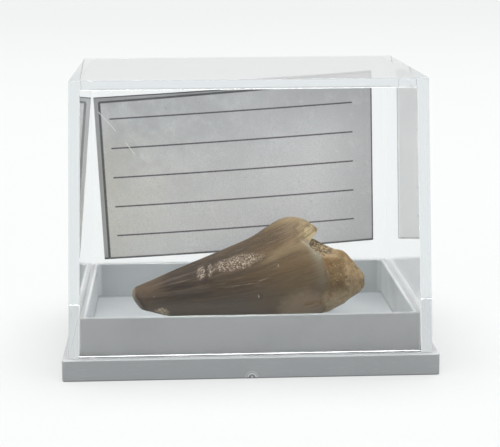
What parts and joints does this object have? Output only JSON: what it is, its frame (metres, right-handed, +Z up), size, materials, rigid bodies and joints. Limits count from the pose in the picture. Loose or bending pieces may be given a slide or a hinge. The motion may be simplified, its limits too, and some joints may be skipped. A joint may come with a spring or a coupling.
{
  "type": "fossil mosasaur tooth in a display box",
  "caption": "Conical fossil reptile tooth with rock in its broken base, lying in a grey tray under a clear drafted lid, with a bare label card behind it.",
  "frame": {"origin": "middle of the base's underside, on the surface that the box stands on", "axes": "+X along the box's long side, from the tooth's tip towards its root, +Y from the front to the back, +Z up"},
  "size_m": [0.0466, 0.0367, 0.0367],
  "materials": {
    "grey_plastic": "moulded polystyrene, satin",
    "clear_plastic": "clear moulded polystyrene, glossy, see-through",
    "printed_card": "matt card with a marbled grey print",
    "fossil": "polished grey-brown enamel, with matt sandy rock at the root"
  },
  "bodies": {
    "root": {"base_tray": "grey_plastic", "lid": "clear_plastic", "label_card": "printed_card", "tooth": "fossil"}
  },
  "joints": []
}
